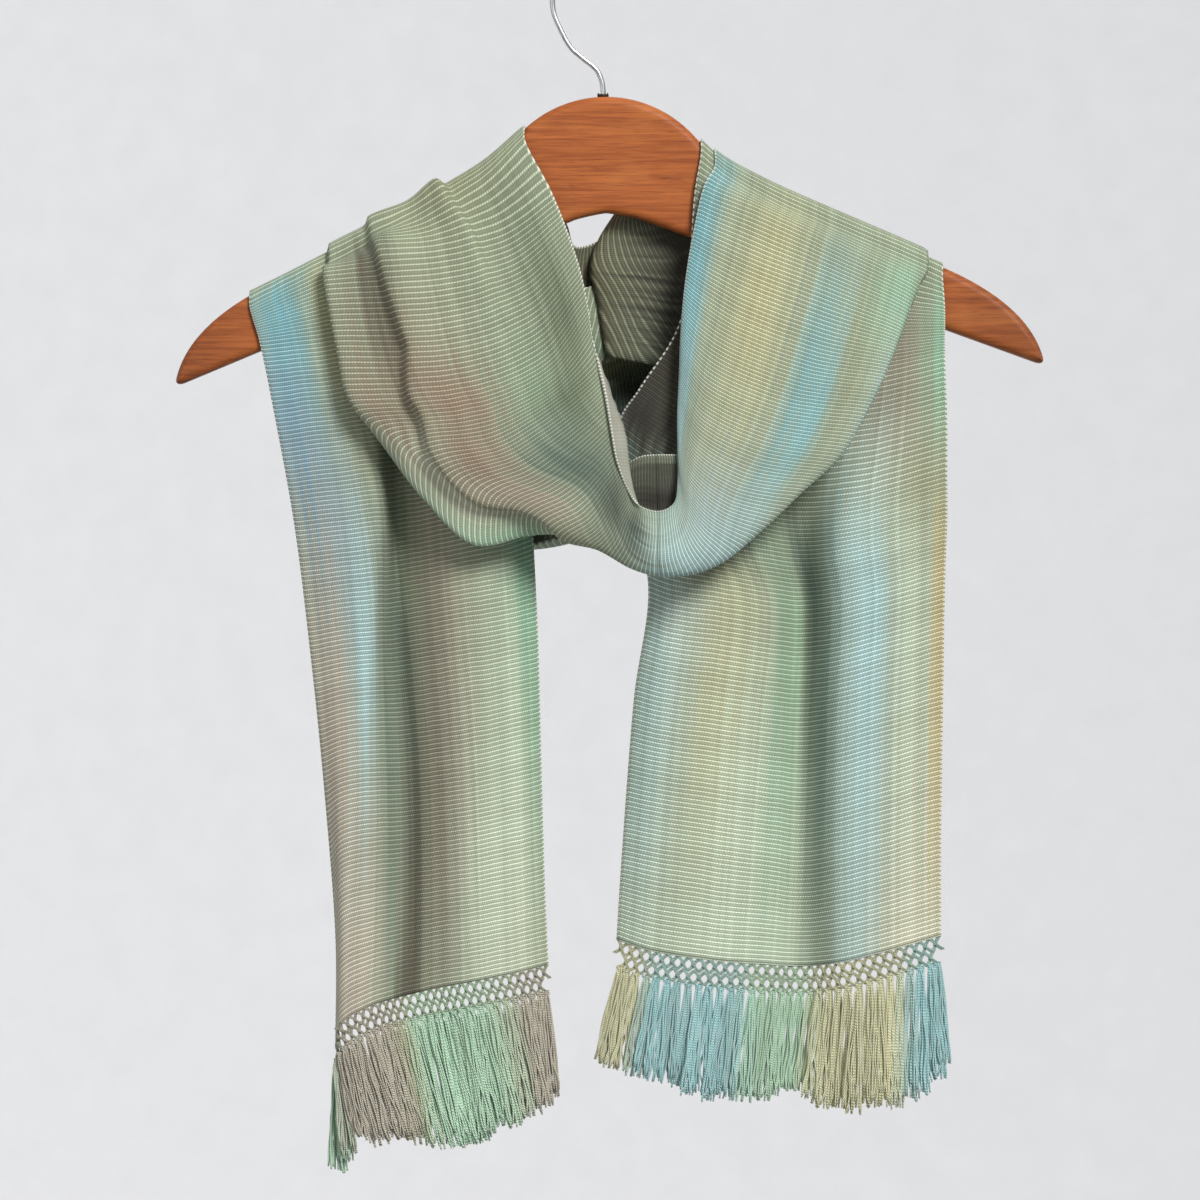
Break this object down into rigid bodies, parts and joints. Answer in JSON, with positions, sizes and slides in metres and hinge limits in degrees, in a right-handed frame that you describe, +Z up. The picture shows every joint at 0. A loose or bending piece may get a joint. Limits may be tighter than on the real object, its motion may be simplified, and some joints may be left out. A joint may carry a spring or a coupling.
{
  "type": "woven scarf on a coat hanger",
  "caption": "Long straight woven scarf with knotted fringed ends, wound round a curved wooden coat hanger with a wire hook so that a soft cowl hangs in front and both ends hang down.",
  "frame": {"origin": "the inner top of the hook, where it rests on a rail", "axes": "+Z up; -Y towards the front, where the cowl hangs; +X to the right seen from the front"},
  "size_m": [0.4429, 0.1038, 0.6248],
  "materials": {
    "wood": "satin lacquered reddish-brown hardwood",
    "steel_wire": "smooth bright wire",
    "ferrule": "small dark metal collar",
    "cloth_tail_left": "ribbed weave, sage, blue and taupe shading along the cloth",
    "cloth_tail_right": "ribbed weave, aqua, yellow-green and gold shading along the cloth",
    "cloth_cowl_left": "ribbed weave, sage, rose-taupe and teal shading along the cloth",
    "cloth_cowl_right": "ribbed weave, aqua and yellow-green shading along the cloth",
    "cloth_back": "ribbed weave, olive and sage",
    "knotted_yarn": "open lattice of knotted yarn",
    "fringe_left": "loose twisted yarn, mint and taupe",
    "fringe_right": "loose twisted yarn, aqua and yellow"
  },
  "bodies": {
    "root": {"hanger_board": "wood", "hanger_hook": "steel_wire", "hanger_ferrule": "ferrule", "tail_left": "cloth_tail_left", "back_pass_lower": "cloth_back", "cowl_right": "cloth_cowl_right", "cowl_left": "cloth_cowl_left", "back_pass_upper": "cloth_back", "tail_right": "cloth_tail_right", "knots_left": "knotted_yarn", "knots_right": "knotted_yarn", "fringe_left": "fringe_left", "fringe_right": "fringe_right"}
  },
  "joints": []
}
